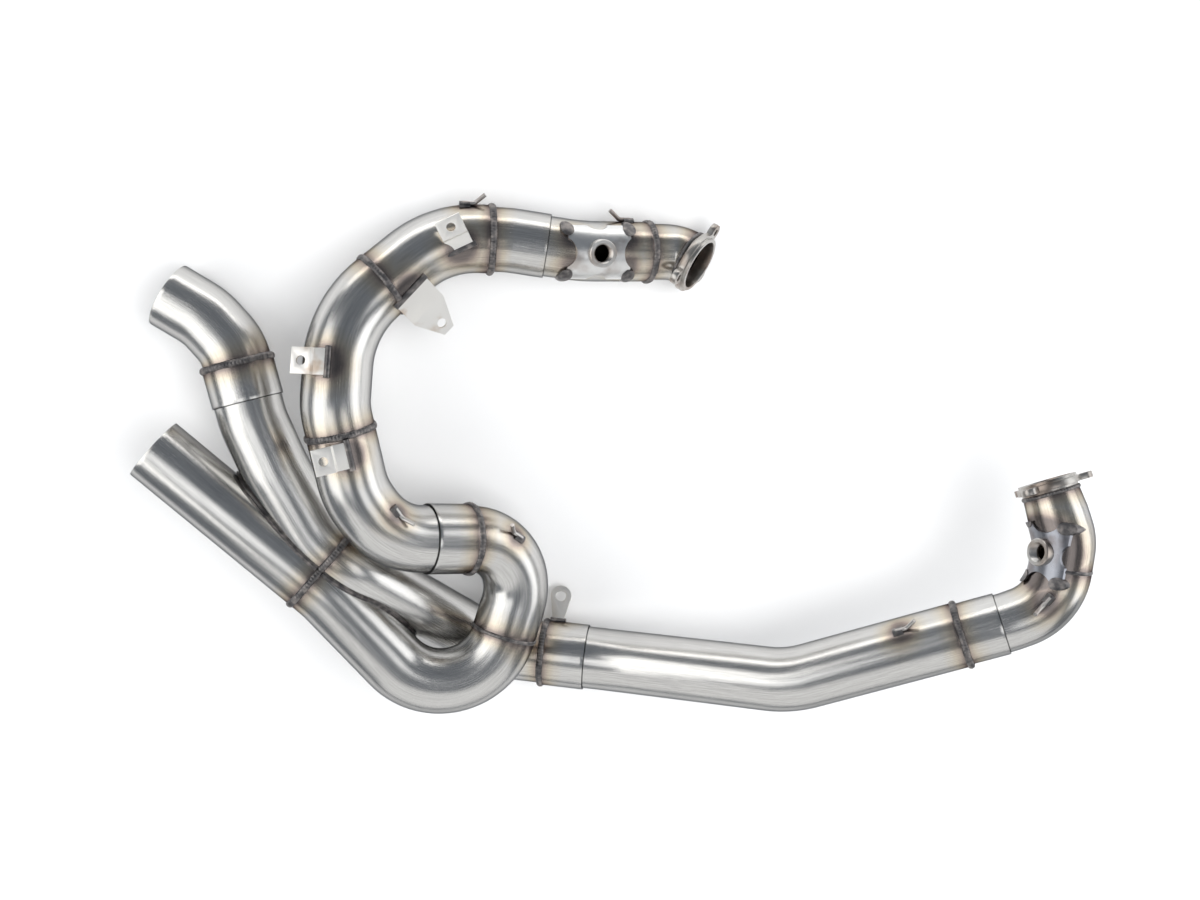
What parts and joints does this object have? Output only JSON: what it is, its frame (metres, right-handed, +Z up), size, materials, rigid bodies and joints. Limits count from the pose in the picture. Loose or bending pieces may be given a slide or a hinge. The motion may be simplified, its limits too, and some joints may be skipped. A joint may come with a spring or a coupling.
{
  "type": "motorcycle exhaust header",
  "caption": "Steel exhaust header for a two-cylinder motorcycle: stepped tubes with a long loop, a crossed merge, outlets, port flanges, sensor bosses and brackets.",
  "frame": {"origin": "middle of the header's box, at the bench it lies on", "axes": "+X runs from the outlets towards the front port, +Y towards the upper hook, +Z up from the bench"},
  "size_m": [0.9029, 0.5136, 0.2204],
  "materials": {
    "tube_steel": "brushed, with heat tint by the welds",
    "plate_steel": "bright plate",
    "machined_steel": "turned, browned by heat",
    "hook_wire": "drawn wire",
    "weld_bead": "dark rippled bead"
  },
  "bodies": {
    "root": {"rear_flange": "machined_steel", "rear_flange_weld": "weld_bead", "rear_port_bend": "tube_steel", "port_joint_weld": "weld_bead", "rear_sensor_tube": "tube_steel", "rear_sensor_saddle": "plate_steel", "rear_saddle_welds": "weld_bead", "rear_sensor_boss": "machined_steel", "rear_upper_sleeve": "tube_steel", "upper_sleeve_weld": "weld_bead", "rear_upper_bend": "tube_steel", "hook_weld": "weld_bead", "rear_down_bend": "tube_steel", "elbow_weld": "weld_bead", "rear_lower_elbow": "tube_steel", "rear_lower_sleeve": "tube_steel", "lower_sleeve_weld": "weld_bead", "loop_upper_bend": "tube_steel", "loop_weld": "weld_bead", "loop_lower_bend": "tube_steel", "outlet_lower": "tube_steel", "merge_ring": "weld_bead", "inlet_seam": "weld_bead", "outlet_seam": "weld_bead", "outlet_upper_tube": "tube_steel", "outlet_sleeve": "tube_steel", "outlet_sleeve_weld": "weld_bead", "outlet_upper_tip": "tube_steel", "front_inlet": "tube_steel", "front_sleeve_weld": "weld_bead", "front_sleeve": "tube_steel", "front_long_tube": "tube_steel", "second_sleeve_weld": "weld_bead", "front_second_sleeve": "tube_steel", "front_lower_bend": "tube_steel", "front_bend_weld": "weld_bead", "front_port_bend": "tube_steel", "front_sensor_saddle": "plate_steel", "front_saddle_welds": "weld_bead", "front_sensor_boss": "machined_steel", "front_flange_weld": "weld_bead", "front_flange": "machined_steel", "upper_tab": "plate_steel", "upper_tab_weld": "weld_bead", "lower_tab": "plate_steel", "lower_tab_weld": "weld_bead", "turned_tab": "plate_steel", "turned_tab_weld": "weld_bead", "bracket": "plate_steel", "bracket_weld": "weld_bead", "ring_lug": "plate_steel", "ring_lug_weld": "weld_bead", "spring_hook_a": "hook_wire", "spring_hook_b": "hook_wire", "spring_hook_c": "hook_wire", "spring_hook_d": "hook_wire", "spring_hook_e": "hook_wire", "spring_hook_f": "hook_wire", "hook_foot_welds": "weld_bead"}
  },
  "joints": []
}
